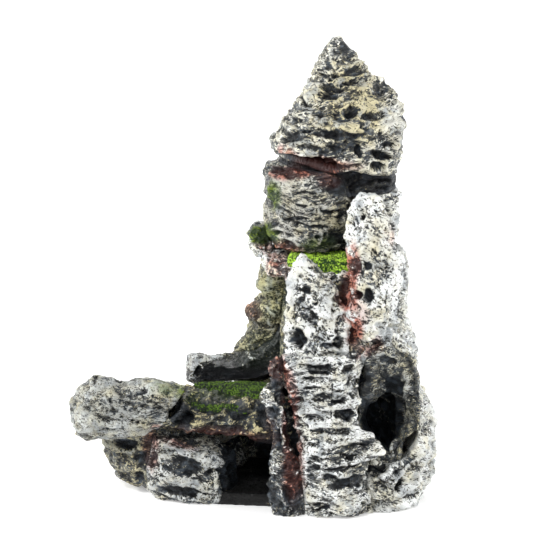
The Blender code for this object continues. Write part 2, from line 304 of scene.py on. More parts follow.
RUST = (
    Spot((22, -14, 142), (22, 10, 4)),  # groove under the summit
    Spot((12, -12, 147), (8, 12, 4), 0.7),
    Spot((13, -12, 139), (10, 12, 3.5), 0.9),
    Spot((34, -15, 136), (7, 8, 4), 0.7),
    Spot((41.5, -30, 103), (3, 12, 10)),  # between the fang and the pinnacle
    Spot((39.5, -32, 90), (4, 12, 10)),
    Spot((42, -34, 77), (4, 12, 8)),
    Spot((47, -40, 68), (5, 10, 4), 0.9),  # right end of the wall's top
    Spot((52, -38, 71), (4, 8, 4), 0.7),
    Spot((15.5, -40, 44), (3.5, 9, 20), 0.9),  # between the pillar and the wall
    Spot((17, -42, 20), (5, 9, 16)),
    Spot((10, -38, 62), (6, 9, 6), 0.8),
    Spot((-16, -26, 28.5), (24, 9, 5), 0.9),  # groove under the ledge
    Spot((-39.5, -30, 32), (4, 6, 3), 0.9),
    Spot((-43, -22, 22), (4, 12, 10), 0.6),
    Spot((10, -10, 105), (12, 16, 5), 0.9),  # under the tower block
    Spot((9, -14, 97), (8, 16, 5), 0.6),
    Spot((-1, 14, 75), (6, 20, 4), 0.5),
    Spot((44, -38, 84), (4, 8, 7), 0.3),
    Spot((56, -24, 113), (5, 9, 6), 0.5),
    Spot((9, -34, 36), (5, 8, 12), 0.4),
)
GREEN = (
    Spot((7, -14, 129), (5, 10, 8), 1.4),
    Spot((4, -2, 111), (9, 14, 5), 1.4),
    Spot((32, -18, 109), (12, 8, 4.5), 0.75),
    Spot((28, -20, 102), (18, 14, 3), 0.5),
    Spot((-34, -20, 49), (9, 16, 3), 0.5),
    Spot((-26, -24, 46), (6, 10, 3), 0.5),
    Spot((-12, -16, 47), (20, 12, 3), 0.9),
    Spot((8, -6, 84), (12, 30, 14), 0.25),
    Spot((0, 0, 60), (24, 30, 9), 0.2),
)
BARE = (
    Spot((16, -8, 160), (10, 20, 14), 0.5),
    Spot((26, -7, 140.8), (26, 5, 3), 2),  # the groove's own floor, left bare: partly a dark joint, partly painted shade under the summit
    Spot((4, 4, 62), (12, 14, 17), 0.1),  # foot of the buttress
    Spot((38, -46, 22), (17, 9, 12), 0.5),
    Spot((-12, -26, 26), (7, 8, 8), 0.5),
    Spot((0, -34, 12), (10, 10, 12), 2),
    Spot((-8, -16, 14), (5, 20, 16), 1.5),
    Spot((23.5, -38, 91), (6.5, 9, 10), 0.3),  # middle of the fang
)
PALE = (
    Spot((60, -14, 84), (12, 24, 22), 0.4),
    Spot((50, -36, 104), (12, 14, 26), 0.25),
    Spot((15, -36, 95), (3, 8, 16), 0.8),  # white left edge of the fang
    Spot((75, -20, 30), (6, 30, 34), 0.25),
    Spot((60, -10, 162), (8, 20, 12), 1.1),
    Spot((53, -14, 166), (8, 20, 10), 0.35),
    Spot((-26, -20, 47), (8, 16, 4), 0.4),
    Spot((-6, -29, 44), (26, 6, 3), 0.25),
    Spot((28, -44, 55), (16, 9, 10), 0.12),
    Spot((2, 4, 98), (12, 22, 12), 0.8),
    Spot((13, -12, 136), (12, 12, 3.5), 0.7),
    Spot((-27, 6, 52), (4, 10, 10), 1.2),  # left end of the prow, and its top
    Spot((-18, 8, 58), (12, 8, 3)),
)
CREAM = (
    Spot((42, -12, 168), (15, 26, 20)),
    Spot((50, -38, 98), (8, 8, 22), 0.25),
    Spot((36, -18, 120), (12, 8, 8), 0.5),
    Spot((64, -38, 46), (8, 10, 28), 0.45),
    Spot((0, -30, 38), (30, 8, 8), 0.6),
    Spot((-30, -24, 46), (14, 16, 4), 0.5),
)
# A mark is a carved or painted place on a stone's front: its middle, its half extents along X and Z, how
# deep it is carved (below 0, it stands out), how much paint it gains, and how many degrees it slopes down
# to the right.
Mark = namedtuple("Mark", "x z wide high depth paint slope", defaults=(0,))

MARK_ROWS = {
    "front_wall_slab": (
        (28, 62.5, 7, 2.4, 2, -0.6),
        (39, 62.5, 2.5, 1.7, 1.6, -0.6),
        (25.5, 58.5, 5, 1.6, 1.4, -0.5),
        (24, 55, 4, 0.9, 1, -0.6),
        (40.5, 56.5, 2, 1.3, 1.2, -0.5),
        (28.5, 51, 5, 1.9, 1.6, -0.5, -18),
        (35.5, 53.5, 3, 0.9, 1, -0.4),
        (18.5, 49.5, 2.3, 1.6, 1.2, -0.4),
        (36, 49, 3.4, 1.3, 1.2, -0.5, -14),
        (38, 43.5, 5.2, 2.6, 3, -0.9, 8),
        (25.5, 42.5, 5, 1.9, 1.5, -0.5, 10),
        (32, 37, 10, 1.8, 1.8, -0.6, 2),
        (21, 38.5, 2.8, 1.5, 1.2, -0.5),
        (21.5, 33, 1.5, 1.3, 1, -0.6),
        (35, 29.5, 8, 2, 1, -0.3, -10),
        (27, 25.5, 3, 1.7, 1.4, -0.5),
        (41, 26, 3, 1.3, 1.4, -0.5),
        (32, 17.5, 4, 1.8, 1.4, -0.4),
        (41, 15, 10.5, 2.7, 2.2, -1, -6),
        (26, 21.5, 2.6, 1.2, 1.2, -0.6),
        (37, 21.5, 6.5, 1.5, 1.4, -0.6, -10),
        (30, 8, 7, 1.5, 1.2, -0.3, 16),
        (32.5, 49, 0.5, 9, 0.9, -0.5),
        (29, 66, 14, 1.3, -0.9, 0.5, -2),
        (51, 31, 5, 4, -0.8, 0.3),
    ),
    "left_fang": (
        (22.5, 94, 2, 2.4, 1.1, -0.7),
        (19.5, 89.5, 3.4, 1.5, 1.1, -0.7, -42),
        (27.5, 82.5, 4.6, 1.6, 1.1, -0.5, 35),
        (25, 87.5, 3.4, 1.1, 0.8, -0.5, -35),
        (26, 102, 3.3, 1.1, 0.9, -0.5, 12),
        (30, 91, 2.6, 1.1, 0.8, -0.4, -30),
        (18.3, 73.8, 4.2, 4.6, 5, -1.8),
        (36, 79, 2.4, 5.5, 1.6, -0.8, 10),
        (35.5, 90, 2.6, 9, 1.4, -0.7, 12),
        (36, 72, 3, 3, 2.6, -1.2),
        (31.5, 71, 4.2, 1.2, 1.4, -0.7, 5),
        (32, 67.5, 5.5, 0.9, 1.2, -0.8),
        (17.5, 66, 3.8, 1.6, 1.2, -0.7),
        (15.6, 92, 1.4, 12, -0.6, 1.3),
        (18.5, 101, 1.2, 7, -0.5, 1.2, 24),
        (22, 105, 1.6, 4, -0.3, 1),
        (22.5, 79.3, 5.5, 1.2, -1.2, 1.4, 36),
    ),
    "right_pinnacle": (
        (42.8, 92.2, 2, 2.1, 3.2, -1.5),
        (47.5, 92.2, 2.9, 3.4, 4, -1.6),
        (47.5, 85.5, 1.6, 1.6, 0.7, -0.5),
        (46.5, 81.5, 1.8, 2.2, 0.8, -0.5),
        (41.5, 103.5, 2.6, 4.2, 0.8, -0.7, 15),
        (47, 104.5, 2.2, 1.8, 1.5, -0.8),
        (45.5, 123, 1.3, 1.4, 2.4, -1.4),
        (40.8, 120.4, 0.9, 1, 2, -1.2),
        (51, 119, 4.5, 4, 0.6, -0.35, 30),
        (53, 106, 5, 0.7, 0.7, -0.5, 22),
        (55, 102.5, 4, 0.6, 0.7, -0.5, 22),
        (55, 90, 0.5, 6, 0.8, -0.5),
        (57.3, 91, 0.4, 5, 0.6, -0.4),
        (50.5, 71.6, 2.6, 2.2, 1.6, -1),
    ),
    "right_column": (
        (57.4, 124, 2.2, 2.4, -1.8, -0.2),
        (57.4, 117.3, 2.4, 2, 3.4, -1.5),
        (56.7, 78, 1.2, 1.2, 2, -1.2),
        (59.6, 73.4, 1.3, 2.2, 2, -1.2),
        (63, 76, 3.5, 0.8, -1.8, 0.3, 12),
    ),
    "cave_arch": (
        (61.5, 12, 1.7, 3.4, 3, -1.4, 15),
        (66, 22.4, 3.6, 1.6, 1.6, -0.7, -38),
        (61, 18.5, 3.6, 2.2, 1.6, -0.7, -38),
        (61, 26.5, 6, 3.2, 0.8, -0.5, -25),
        (51, 18, 5, 2.8, 1.4, -1, -20),
        (52, 66, 4.6, 2, 0.8, -0.5),
        (52, 71, 4.6, 1.2, 1.2, -0.7),
        (46, 51, 2.6, 9, 0.4, -1.2, 5),
        (64.5, 56, 0.9, 6, 1.8, -1.2, -24),
        (68, 45, 0.9, 7, 1.8, -1.2, -8),
        (68.5, 33, 0.9, 6, 1.6, -1.1, 8),
        (72, 55, 3, 1, 1.2, -0.6),
        (66, 62, 2.4, 1.2, 1.2, -0.6),
    ),
    "cave_throat": (
        (63.5, 48, 2.4, 12, -0.8, 0.75, 6),
        (66, 35, 1.6, 8, -0.4, 0.55, -6),
        (46.8, 50, 2.8, 10, 0.4, -0.8, 4),
        (56, 64, 4.5, 2, 1, -0.5, 20),
        (54, 22, 4.5, 1.6, -0.3, 0.3, -20),
    ),
    "crevice_pillar": (
        (6.2, 50, 2.2, 3.2, -1, 0),
        (9, 44, 2.6, 3.2, 1.2, -1),
        (10.6, 33.2, 1.9, 4, 2.2, -1.3),
        (14.8, 10.3, 2.2, 3.6, 2.2, -1.3),
        (14.6, 43.5, 1.6, 14, 3, -1.6),
        (8, 22, 1.2, 9, -0.5, 0.4),
    ),
    "summit_peak": (
        (44, 180.5, 5.6, 1.9, 2.4, -0.9, -3),
        (33, 178.6, 6, 1.3, 1.6, -0.7, -4),
        (40, 175.5, 4, 0.9, 1.3, -0.6),
        (31, 171, 5, 1.9, 1.8, -0.6, 8),
        (38, 164, 14, 4, 0.6, -0.5),
        (34, 148.5, 9, 4, 0.5, -0.5),
        (41, 164.5, 3.8, 2.6, 2, -0.8),
        (51.5, 162.7, 5.7, 2.1, 2, -0.8),
        (34, 155.5, 12, 2.2, 1.8, -0.9, 4),
        (24, 157.5, 6, 1.2, 1.6, -0.6, -8),
        (46.5, 158, 3.3, 1, 1.3, -0.6),
        (23.5, 150.4, 5.4, 1.7, 2.2, -1, 3),
        (35, 149.5, 5, 1.2, 1.2, -0.5, 12),
        (44.5, 148, 1.8, 2.2, 3, -1.2),
        (54, 146.2, 5, 1.9, 3.4, -1.3, 20),
        (52, 141.4, 3.4, 2.6, 3.6, -1.3),
        (49, 154, 5, 4, -0.3, 0.35),
        (58, 150, 3, 1.2, 1.4, -0.6),
        (39.5, 188, 3.6, 5.5, 0.2, -0.8, 15),
        (33.5, 187, 1.6, 7, -0.2, 0.8, -12),
        (46.5, 174.8, 7.4, 2.4, -0.8, 0.6),
        (22, 143, 17, 3.4, 4.5, -2, 6),
        (21, 170, 1, 6, 1.2, -0.6, -20),
        (17, 162, 0.9, 6, 1.2, -0.6, -24),
    ),
    "tower_block": (
        (35.2, 132.6, 4.4, 3.6, 0.8, -1.4),
        (32.7, 122.8, 4.4, 1.2, 1.8, -0.9),
        (20.5, 125.7, 3.2, 0.9, 1.2, -0.6),
        (22, 131.5, 6, 0.8, 1.2, -0.5, 3),
        (17, 120, 5, 0.8, 1.1, -0.5, -4),
        (27, 117, 6, 0.9, 1.1, -0.5),
        (12, 113.5, 3, 1.2, 1.2, -0.5),
        (27.3, 112.4, 1.3, 1.3, 2.6, -1.4),
        (30.4, 113.5, 1.1, 1.1, 2.4, -1.4),
        (15.7, 112.7, 2.5, 1.2, 1, -0.5),
        (36, 111, 4.6, 2.6, 0.8, -0.7),
    ),
    "ledge_slab": (
        (-57, 51.4, 2.1, 1, 1.6, -0.9),
        (-49.7, 52, 2.5, 1.1, 1.6, -0.9),
        (-46, 47.7, 3.3, 0.6, 1.1, -0.9, -15),
        (-59.2, 45.1, 1.3, 1.6, 1.2, -0.8, -30),
        (-57.8, 41.2, 2.1, 1.8, 1, -0.6),
        (-69.4, 43.2, 3.6, 3, 0.6, -0.35),
        (-66, 52, 1, 2.4, 1, -0.8, 20),
        (-60, 33, 8, 0.8, 1.2, -0.6, -6),
        (-58, 29.5, 9, 0.7, 1, -0.5, -4),
    ),
    "ledge_core": (
        (-30, 38.5, 5, 6.5, 4, -1.8, -33),
        (-20, 42, 7, 2.8, 1.4, -0.7, 14),
        (-6, 40, 5, 3.5, 1.2, -0.6),
        (6, 38, 4.5, 5, 1.4, -0.7),
        (-10, 33.5, 9, 1.6, 1, -0.4, 8),
    ),
    "ledge_boulder": (
        (-29.8, 16.8, 9, 4.4, 1.6, -1.2, 6),
        (-31, 10.6, 9.5, 1.3, -1.2, 0.8, 4),
        (-30.8, 5.6, 9.5, 2.8, 1.8, -1.3, 3),
        (-27.5, 22.3, 14, 1.3, -0.8, 0.6, 19),
        (-15.4, 11.7, 1.3, 6.5, -0.9, 0.7),
        (-9.6, 11.7, 4, 9, 0.5, -0.8),
        (-41.5, 14, 1.2, 5, -0.6, 0.5),
    ),
    "ledge_foot": (
        (-54, 23, 5.4, 2.8, 2.4, -1.1),
        (-47, 17, 3.5, 5.5, 1.4, -0.7, -30),
        (-48, 8.6, 2.4, 3.2, 1.4, -0.7),
    ),
    "ledge_prow": (
        (-17, 55.2, 9, 1.1, -0.2, 1.8, -6),
        (-25, 54, 2.6, 3.5, 0, 1.1, 20),
        (-23.5, 50.5, 1.4, 2.4, 1.4, -1, 30),
        (-10, 49.5, 14, 3.4, 0.6, -1.4),
        (-3, 58, 1, 6, -0.4, 1, -62),
    ),
}
MARKS = {node: [Mark(*row) for row in rows] for node, rows in MARK_ROWS.items()}

# A push moves the part of a stone near a place along a vector.
Push = namedtuple("Push", "centre radii move")

PUSHES = {
    "front_wall_slab": (
        Push((49, -44, 31), (8, 9, 6.5), (8, -2, 0)),
        Push((40, -50, 15), (12, 8, 5), (0, 1.5, 0)),
        Push((17, -46, 65), (5, 6, 4), (-2.5, -0.5, 1)),
    ),
    "summit_peak": (
        Push((52, -2, 174), (6, 16, 3.6), (6, -1, 0)),
        Push((58, -2, 167.5), (7, 16, 6), (5, 0, 0)),
        Push((20, -8, 170), (6, 14, 4), (-1.5, -1, 0)),
        Push((30, -16, 141), (8, 8, 4), (0, 0, -1.4)),
        Push((13, -14, 142), (7, 8, 4), (0, 0, 1.2)),
        Push((46, -14, 141), (7, 8, 4), (0, -1, 1.8)),
        Push((60, -10, 140), (6, 10, 4), (0, 0, -2)),
        Push((25, -4, 177), (5, 12, 3.5), (2, 1, 0)),
        Push((45, -6, 181), (5, 8, 3), (-1, 1.5, 0)),
    ),
    "cave_throat": (
        Push((49, -30, 54), (5, 12, 8), (3.5, 0, -2)),
        Push((50, -30, 36), (5, 14, 11), (-3.5, 0, 0)),
        Push((66, -28, 27), (6, 12, 8), (-4, 0, 1.5)),
    ),
    "tower_neck": (
        Push((30, -14, 137), (60, 8, 20), (0, 3.5, 0)),
        Push((62, -12, 137), (5, 12, 6), (3, -2, 0)),
    ),
    "tower_block": (
        Push((10, -14, 137), (7, 8, 3), (0, 0, 1.2)),
        Push((24, -16, 136), (7, 8, 3), (0, 0, -1.2)),
        Push((38, -16, 137), (7, 8, 3), (0, 0, -2)),
    ),
    "cave_arch": (Push((49, -38, 10), (9, 14, 14), (0, -2.6, 0)),),
    "ledge_prow": (
        Push((-10, 4, 56), (9, 9, 4), (0, 0, -1.4)),
        Push((-26, 4, 47.5), (5, 9, 4), (-1.2, 0, -2.4)),
        Push((-26, 4, 56), (4, 9, 3), (0, 0, 0.8)),
    ),
    "ledge_core": (Push((-31, -22, 38), (6, 14, 8), (-5, 0, 0)),),
    "ledge_slab": (
        Push((-65, -20, 53), (5, 12, 5), (-2.5, 0, 2)),
        Push((-71, -20, 27), (5, 12, 5), (-1.5, 0, -1)),
    ),
}
# A cut planes a stone's surface flat: a place on the plane, and its outward direction.
CUTS = {
    "ledge_prow": (((0, 2.6, 50), (0, -1, 0.05)), ((-27.2, 4, 50), (-1, -0.4, 0.1))),
    "ledge_boulder": (
        ((-14.5, -30, 12), (1, -0.45, 0)),
        ((-30, -28.4, 12), (0, -1, 0.08)),
        ((-27, -30, 24), (0.35, -0.15, 0.92)),
    ),
    "ledge_slab": (
        ((-50, -28.5, 40), (0.05, -1, 0.1)),
        ((-74, -20, 40), (-1, -0.5, 0.35)),
        ((-34, -26, 41), (0.84, -0.1, -0.55)),
    ),
    "summit_peak": (((38, 6.5, 188), (0.35, -0.55, 0.5)), ((30.5, 8, 188), (-0.8, -0.5, 0.65))),
    "left_fang": (((16, -36, 90), (-0.8, -0.6, 0)), ((30, -37, 90), (0.35, -1, 0.1))),
    "tower_block": (((36, -16, 125), (0.5, -1, 0)),),
    "cave_arch": (((56, -39, 50), (0.1, -1, 0.15)),),
}
# Where the relief is low.
CALM = (
    Spot((36, 10, 193), (9, 12, 8), 0.75),
    Spot((21, -32, 108), (5, 6, 6), 0.6),
    Spot((-10, 4, 50), (24, 8, 6), 0.55),
)
# Insides of the hollow and of the way under the ledge, where the resin is bare: the ends along X, Y, Z.
ROOMS = (
    ((1, 66), (-27.5, 31), (3, 44)),
    ((13, 66), (-27.5, 31), (44, 64)),
    ((-9, 9), (-40, 4), (3, 27)),
)


def indoors(points):
    """1 inside the hollow, and 0 outside."""
    deepest = np.full(len(points), -9.0)
    for room in ROOMS:
        sides = [np.minimum(p - low, high - p) for p, (low, high) in zip(points.T, room)]
        deepest = np.maximum(deepest, np.min(sides, axis=0))
    return ramp(deepest, 0, 2.5)


def within(points, spots):
    """The summed strength of the spots at each point."""
    total = np.zeros(len(points))
    for spot in spots:
        away = np.sqrt((((points - spot.centre) / spot.radii) ** 2).sum(axis=1))
        total += spot.strength * (1 - ramp(away, 0.55, 1.25))
    return total


# ---- styles of stone

STYLE_FIELDS = {
    "swell": 0.9,  # low rise and fall of the whole surface
    "plates": (1.8, 11, 5),  # step between flat patches, and their width and height
    "lens": (1.1, 8, 2.6, 0.35),  # depth, width, height and share of the scoops between strata
    "strata": (1.1, 9, 3.4),  # depth, length and pitch of the crests along the strata
    "pits": (0.7, 2.2, 0.3),  # depth, size and share of small round pits
    "bubbles": (0, 2.6),  # height and size of beads
    "fine": 0.3,  # roughness of the skin
    "tilt": 0,  # of the strata, in degrees, down to the right
    "flow": 1.9,  # how much longer than high the fine scratches are
    "bias": 0.5,  # how much paint there is everywhere
    "patch": 0.6,  # how much the paint varies from place to place
    "edge": 0.22,  # how much more paint crest lines have
    "cream": 0.12,  # share of cream in the paint
    "shade": (0.016, 0.019, 0.022),  # colour of the resin
    "slate": 0.8,  # share of blue slate tint, which also stands in for a painted sheen, in it
    "coat": (0.84, 0.86, 0.85),  # colour of the paint
    "voxel": VOXEL,
}
Style = namedtuple("Style", STYLE_FIELDS, defaults=STYLE_FIELDS.values())

WALL = Style(lens=(1.4, 9, 2.3, 0.35), bias=0.42, edge=0.38, tilt=-3, flow=2.3, voxel=0.5)
ARCH = Style(
    lens=(1.3, 7.5, 2.4, 0.35), plates=(2.6, 12, 5), strata=(1.5, 9, 3.6), bias=0.64, patch=0.8, edge=0.34,
    tilt=12, cream=0.15, flow=2.2,
)
SHIELD = Style(
    lens=(0.8, 5.5, 2.4, 0.15), plates=(2.4, 11, 6), bias=0.62, patch=0.75, tilt=28, flow=1.4, voxel=0.5,
)
COLUMN = Style(
    lens=(1.2, 7, 2.2, 0.35), plates=(2.4, 9, 6), strata=(1.5, 9, 3.8), bias=0.6, patch=0.75, tilt=-8,
    flow=2.2,
)
BLOCK = Style(
    lens=(0.9, 9, 1.9, 0.3), plates=(1.5, 14, 4), bias=0.3, edge=0.34, tilt=4, cream=0.15, flow=3,
    coat=(0.64, 0.64, 0.59), voxel=0.5,
)
SUMMIT = Style(
    lens=(1.3, 10, 3, 0.25), plates=(2.8, 12, 5), bias=0.26, patch=0.8, edge=0.36, tilt=-4, cream=0.25,
    flow=2.3, coat=(0.78, 0.78, 0.72), voxel=0.5,
)
SLAB = Style(
    lens=(0.7, 6, 2.6, 0.15), plates=(2.2, 16, 8), strata=(0.9, 15, 3), bias=0.5, edge=0.3, tilt=12,
    cream=0.15, flow=3.2, coat=(0.52, 0.54, 0.52),
)
BOULDER = Style(
    lens=(1, 14, 3.4, 0.4), plates=(2, 14, 6), bias=0.34, edge=0.34, tilt=12, coat=(0.66, 0.68, 0.67),
)
BEADED = Style(
    lens=(0.6, 5, 3, 0.4), bubbles=(0.9, 2.8), strata=(0.7, 5, 3), bias=0.36, patch=0.45, edge=0.14,
    cream=0.6, slate=0, coat=(0.42, 0.42, 0.33), shade=(0.012, 0.014, 0.009),
)
SLATE = Style(
    lens=(0.6, 12, 7, 0.3), plates=(2.2, 12, 9), strata=(0.8, 9, 6), pits=(0.4, 2, 0.12), bias=0.24,
    patch=0.18, edge=0.1, cream=0.6, fine=0.2, slate=0.6, coat=(0.42, 0.42, 0.37),
)
CORE = Style(
    lens=(1, 7, 5, 0.6), plates=(2.8, 8, 6), bias=0, patch=0.2, edge=0.1, cream=0.8, tilt=-12,
    slate=0.3, coat=(0.42, 0.42, 0.34),
)
KNOTS = Style(lens=(1.2, 5, 4, 0.6), plates=(1.5, 5, 5), bias=0.16, voxel=0.45)
# painted shade: the base plate's resin is made near black, darker than the other stones', and left
# unpainted, for the shade in the hollow under the ledge
PLAIN = Style(
    swell=0.3, plates=(0.2, 11, 7), lens=(0, 8, 3, 0), strata=(0, 9, 3), pits=(0, 2, 0.1), bias=-0.4,
    fine=0.08, slate=0, shade=(0.004, 0.004, 0.004),
)

STYLES = {
    "front_wall_slab": WALL,
    "left_fang": SHIELD,
    "right_pinnacle": SHIELD._replace(bias=0.76),
    "crevice_pillar": KNOTS._replace(bias=-0.05),
    "cave_arch": ARCH,
    "cave_throat": SLATE._replace(
        plates=(3.4, 9, 10), bias=0.17, cream=0.25, voxel=0.5, coat=(0.55, 0.57, 0.55)
    ),
    "ledge_slab": SLAB,
    "ledge_boulder": BOULDER,
    "ledge_foot": BOULDER._replace(
        lens=(1, 8, 3, 0.2), bias=0.18, patch=0.4, edge=0.1, cream=0.5, coat=(0.4, 0.4, 0.34)
    ),
    "ledge_prow": SLATE._replace(
        bias=-0.1, cream=0.1, slate=0.1, shade=(0.007, 0.008, 0.01), coat=(0.66, 0.69, 0.72)
    ),
    "ledge_core": CORE,
    "summit_peak": SUMMIT,
    "tower_block": BLOCK,
    # painted shade: the neck is left nearly unpainted in near-black resin, darker than the other stones,
    # for the shade under the summit's overhang as well as its dark joint
    "tower_neck": SLATE._replace(
        lens=(1.4, 6, 3, 0.6), plates=(2, 7, 3), strata=(1.2, 7, 2.4), bias=-0.5, fine=0.5, slate=0.3,
        shade=(0.006, 0.007, 0.009),
    ),
    "right_column": COLUMN,
    "terrace_knob": KNOTS._replace(bias=0.3),
    "terrace_stone": KNOTS._replace(bias=0.3),
    "tower_shoulder": SLATE._replace(bias=0.3, patch=0.5),
    "rear_buttress": BEADED,
    "rear_wall_stone": WALL._replace(
        plates=(2.6, 13, 6), patch=0.75, tilt=-4, coat=(0.62, 0.62, 0.58), voxel=VOXEL
    ),
    "rear_left_stone": BOULDER._replace(tilt=-8, cream=0.4),
    "base_plate": PLAIN,
}


def shaped(points, pushes, cuts):
    """A stone's points after its pushes and its cuts."""
    for push in pushes:
        spot = Spot(push.centre, push.radii)
        points = points + within(points, [spot])[:, None] * push.move
    for place, direction in cuts:
        normal = np.array(direction) / np.linalg.norm(direction)
        over = np.maximum((points - place) @ normal, 0)
        points = points - over[:, None] * normal
    return points


def turn(x, z, degrees):
    """x and z turned so that what slopes down to the right by these degrees lies level."""
    c, s = math.cos(math.radians(degrees)), math.sin(math.radians(degrees))
    return c * x - s * z, s * x + c * z


def front_marks(points, outward, marks):
    """How deep the marks on a stone's front are carved at each point, and how much paint they add."""
    depth, gain = np.zeros(len(points)), np.zeros(len(points))
    front = ramp(-outward[:, 1], -0.1, 0.3) * (points[:, 1] < FRONT_END)
    for mark in marks:
        along, up = turn(points[:, 0] - mark.x, points[:, 2] - mark.z, mark.slope)
        away = np.hypot(along / mark.wide, up / mark.high)
        inside = front * (1 - ramp(away, 0.62, 1.12))
        lip = front * np.exp(-(((away - 1.15) * min(mark.wide, mark.high) / 0.7) ** 2))
        depth += mark.depth * inside - LIP_HEIGHT * lip * (mark.depth > LIP_FROM)
        gain += mark.paint * inside + LIP_PAINT * lip * (mark.depth > LIP_FROM)
    return depth, gain


def warped(points, seed, pitch, reach):
    """Points moved about by noise of this pitch, by up to half the reach."""
    shift = [reach * (fractal(points / pitch, seed + 5 * k, 2) - 0.5) for k in range(3)]
    return points + np.stack(shift, axis=1)


# A stone's relief: its height, how far each point lies in a hollow, how near it is to a crest line, the
# level of its flat patch, and its place along the flow of the strata.
Relief = namedtuple("Relief", "height hollow crest facet flow")


def carve(points, style, seed):
    """The relief of a stone of this style: swell, flat patches, scoops, strata, pits, beads and skin."""
    along, up = turn(points[:, 0], points[:, 2], style.tilt)
    level = warped(np.stack([along, points[:, 1], up], axis=1), seed, 13, 6)
    rough = warped(level, seed + 15, 2.2, 1.2)

    height = style.swell * 2 * (fractal(points / 15, seed + 20, 2) - 0.5)

    step, wide, high = style.plates
    facet = plates(rough / (wide, wide, high), seed + 30)
    height += step * facet

    # scoops, each with its own reach and depth
    depth, wide, high, share = style.lens
    near, own = cells(rough / (wide, wide, high), seed + 40)
    reach = 0.25 + 0.3 * ((own * 7.31) % 1)
    hollow = (1 - ramp(near, reach - 0.14, reach)) * (own < share)
    height -= depth * hollow * (0.6 + 0.6 * own / max(share, 0.01))

    # broad crest lines, and finer ones of half their height
    depth, long, pitch = style.strata
    broad = crests(level / (long, long, pitch), seed + 60)
    sharp = crests(rough / (0.4 * long, 0.4 * long, 0.55 * pitch), seed + 65)
    height += depth * ((broad - 0.6) + 0.5 * (sharp - 0.6))

    depth, size, share = style.pits
    near, own = cells(points / size, seed + 70)
    pit = (1 - ramp(near, 0.2, 0.42)) * (own < share)
    height -= depth * pit
    depth, size = style.bubbles
    if depth:
        near, own = cells(points / size, seed + 80)
        height += depth * (1 - ramp(near, 0.1, 0.62)) * (0.4 + 0.8 * own)
    height += style.fine * 2 * (fractal(points / 1.5, seed + 90, 2) - 0.5)
    crest = np.maximum(ramp(broad, 0.62, 0.95), 0.85 * ramp(sharp, 0.6, 0.95))
    return Relief(height, np.maximum(hollow, pit), crest, facet, rough * (1, 1, style.flow))


def set_values(mesh, name, values):
    """Stores a number or a vector for each vertex, for a shader to read."""
    kind, field = ("FLOAT_VECTOR", "vector") if values.ndim == 2 else ("FLOAT", "value")
    layer = mesh.attributes.new(name, kind, "POINT")
    layer.data.foreach_set(field, values.astype(np.float32).ravel())


def set_colour(mesh, name, colours):
    """Stores a colour for each vertex, for a shader to read."""
    layer = mesh.color_attributes.new(name, "FLOAT_COLOR", "POINT")
    rgba = np.concatenate([np.clip(colours, 0, 1), np.ones((len(colours), 1))], axis=1)
    layer.data.foreach_set("color", rgba.astype(np.float32).ravel())


RUST_DARK = (0.045, 0.013, 0.01)
RUST_PALE = np.array((0.58, 0.17, 0.1))
GREEN_DARK = (0.018, 0.04, 0.004)
GREEN_PALE = np.array((0.17, 0.24, 0.02))
KHAKI = (0.42, 0.36, 0.19)
CREAM_COAT = (0.58, 0.51, 0.27)
SLATE_COAT = (0.33, 0.36, 0.38)
# a blue slate tint of the resin, which also serves as a painted sheen
SLATE_TINT_AND_SHEEN = (0.066, 0.084, 0.105)
# What adds to the cover, or takes from it, and by how much.
PROUD_GAIN, CRISP_GAIN, HOLLOW_GAIN = 0.16, 0.1, -0.18
MARK_GAIN, PALE_GAIN, BARE_GAIN, STAIN_GAIN = 0.68, 0.4, -0.7, -0.26
START = -0.14  # beside the style's bias
CONTRAST = 0.5  # how far the cover is pushed towards bare or painted


def cover_of(points, style, seed, relief, proud, crisp, gain, stain):
    """How much paint each point has: the wash shows from about 0.35, and the top coat from about 0.5."""
    patch = fractal(points / 8, seed + 100, 3) - 0.5
    cover = style.bias + START + PROUD_GAIN * proud + CRISP_GAIN * crisp
    cover += style.edge * relief.crest + HOLLOW_GAIN * relief.hollow + style.patch * (patch + relief.facet)
    cover += MARK_GAIN * gain + PALE_GAIN * within(points, PALE) + BARE_GAIN * within(points, BARE)
    cover += STAIN_GAIN * stain
    return blend_to(cover, 1.15 * ramp(cover, 0.12, 0.78) - 0.08, CONTRAST)


def coat_of(points, style, seed, cream, rust, green):
    """The colour of the top coat."""
    coat = np.tile(style.coat, (len(points), 1))
    coat = blend_to(coat, CREAM_COAT, np.clip(cream, 0, 1) * 0.8)
    coat = blend_to(coat, SLATE_COAT, ramp(fractal(points / 4, seed + 125, 3), 0.52, 0.72) * 0.75)
    coat *= (0.85 + 0.35 * fractal(points / 2.3, seed + 140, 2))[:, None]
    fleck = fractal(points / 3.1, seed + 130, 2)
    coat = blend_to(coat, RUST_PALE, rust * ramp(fleck, 0.3, 0.55) * 0.9)
    return blend_to(coat, GREEN_PALE, green * ramp(fleck, 0.15, 0.4))


def wash_of(points, cream, rust, green):
    """The colour of the thin wash under the top coat."""
    wash = np.tile(KHAKI, (len(points), 1)) * (0.4 + 0.7 * np.clip(cream + 0.2, 0, 1))[:, None]
    wash = blend_to(wash, RUST_PALE * 0.6, rust)
    return blend_to(wash, GREEN_PALE * 0.8, green)


